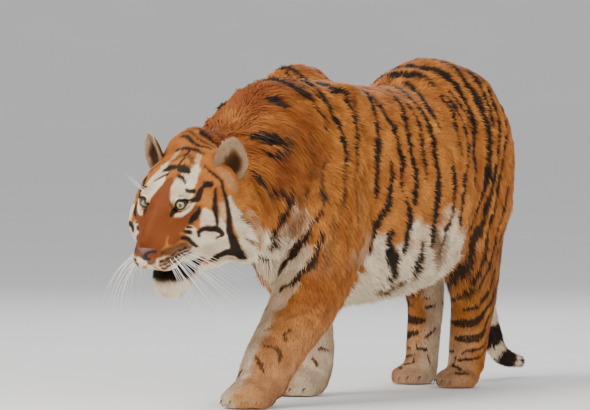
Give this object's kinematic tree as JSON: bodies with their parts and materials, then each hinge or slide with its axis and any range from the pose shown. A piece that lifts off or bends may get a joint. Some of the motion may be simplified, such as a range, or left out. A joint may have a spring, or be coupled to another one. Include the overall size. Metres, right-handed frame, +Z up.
{
  "type": "bengal tiger",
  "caption": "Life-size walking tiger, a still model with a thick striped coat, its head low and turned a little, standing on flat soles with its tail hanging.",
  "frame": {"origin": "centre of the bounding box at floor level, under the four soles", "axes": "+Z up, the tiger faces -Y and its length runs along Y, its left side is +X"},
  "size_m": [0.4812, 2.0668, 0.9672],
  "materials": {
    "coat": "thick matte fur, rust orange with black stripes and cream underparts",
    "nose_leather": "fine-grained moist skin",
    "eye": "wet, clear and glossy over a pale yellow-green iris"
  },
  "bodies": {
    "root": {"head": "coat", "jaw": "coat", "neck": "coat", "chest": "coat", "abdomen": "coat", "rump": "coat", "tail_base": "coat", "tail_middle": "coat", "tail_tip": "coat", "foreleg_left_upper": "coat", "foreleg_left_forearm": "coat", "foreleg_left_paw": "coat", "foreleg_right_upper": "coat", "foreleg_right_forearm": "coat", "foreleg_right_paw": "coat", "hindleg_left_thigh": "coat", "hindleg_left_shank": "coat", "hindleg_left_foot": "coat", "hindleg_right_thigh": "coat", "hindleg_right_shank": "coat", "hindleg_right_foot": "coat", "ear_left": "coat", "ear_right": "coat", "nose": "nose_leather", "eye_left": "eye", "eye_right": "eye"}
  },
  "joints": []
}
